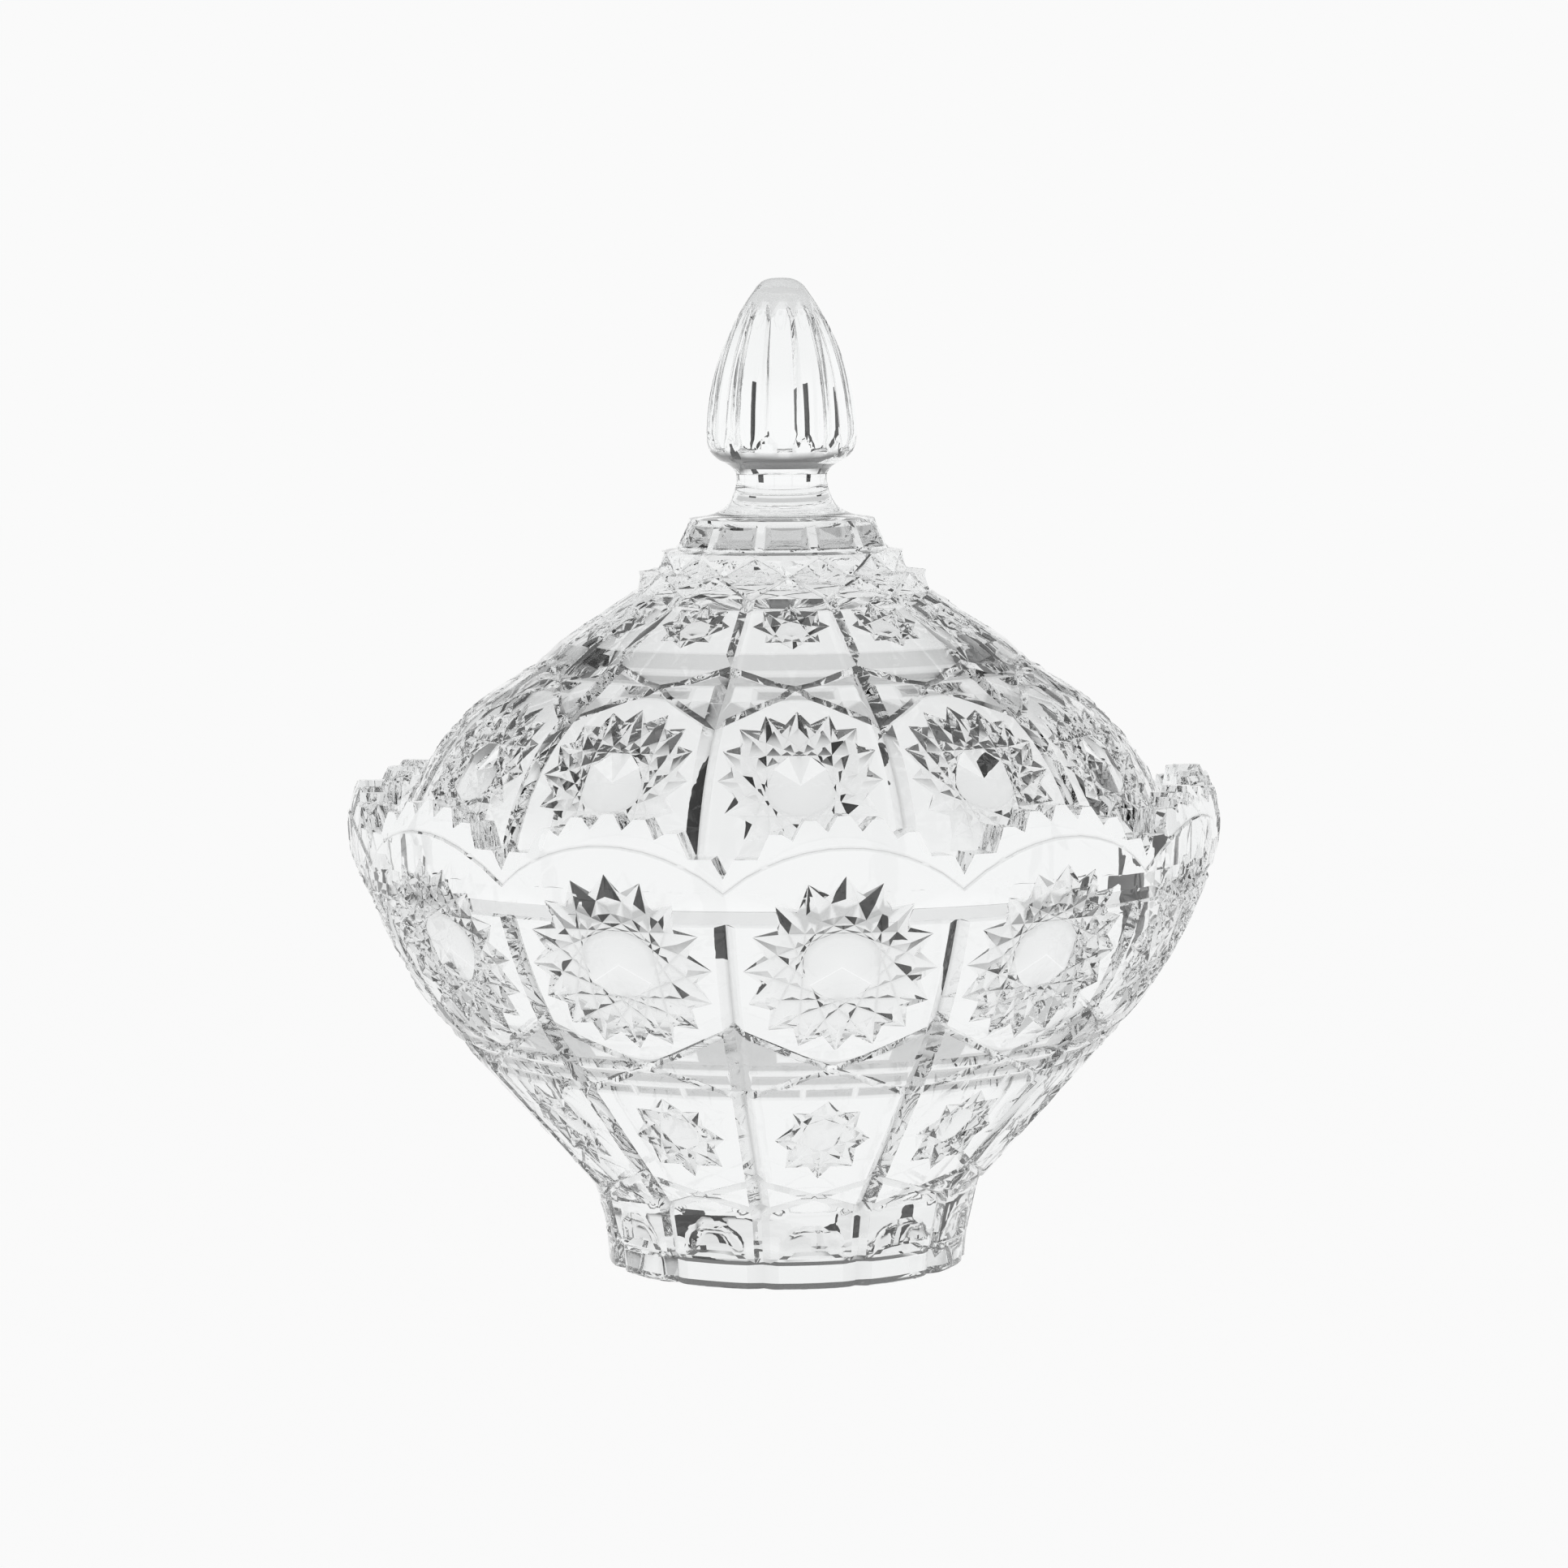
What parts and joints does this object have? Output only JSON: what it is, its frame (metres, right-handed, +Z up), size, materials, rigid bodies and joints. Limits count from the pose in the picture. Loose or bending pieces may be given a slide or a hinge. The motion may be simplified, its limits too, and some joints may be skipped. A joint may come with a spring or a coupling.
{
  "type": "covered powder jar",
  "caption": "Covered pressed-glass jar: flared bowl on a ring foot with a scalloped rim, and a domed lid with a fluted bud-shaped knob.",
  "frame": {"origin": "centre of the foot's resting plane, on the jar's axis", "axes": "+Z up along the jar's axis, -Y through the middle of one bowl panel, which is the front"},
  "size_m": [0.15, 0.15, 0.169],
  "materials": {
    "bowl_glass": "clear fire-polished pressed glass",
    "lid_glass": "clear fire-polished pressed glass"
  },
  "bodies": {
    "bowl": {"bowl": "bowl_glass"},
    "lid": {"lid": "lid_glass"}
  },
  "joints": [
    {"name": "lid_lift", "type": "slide", "parent": "bowl", "child": "lid", "axis": [0, 0, 1], "range_m": [0, 0.1]}
  ]
}
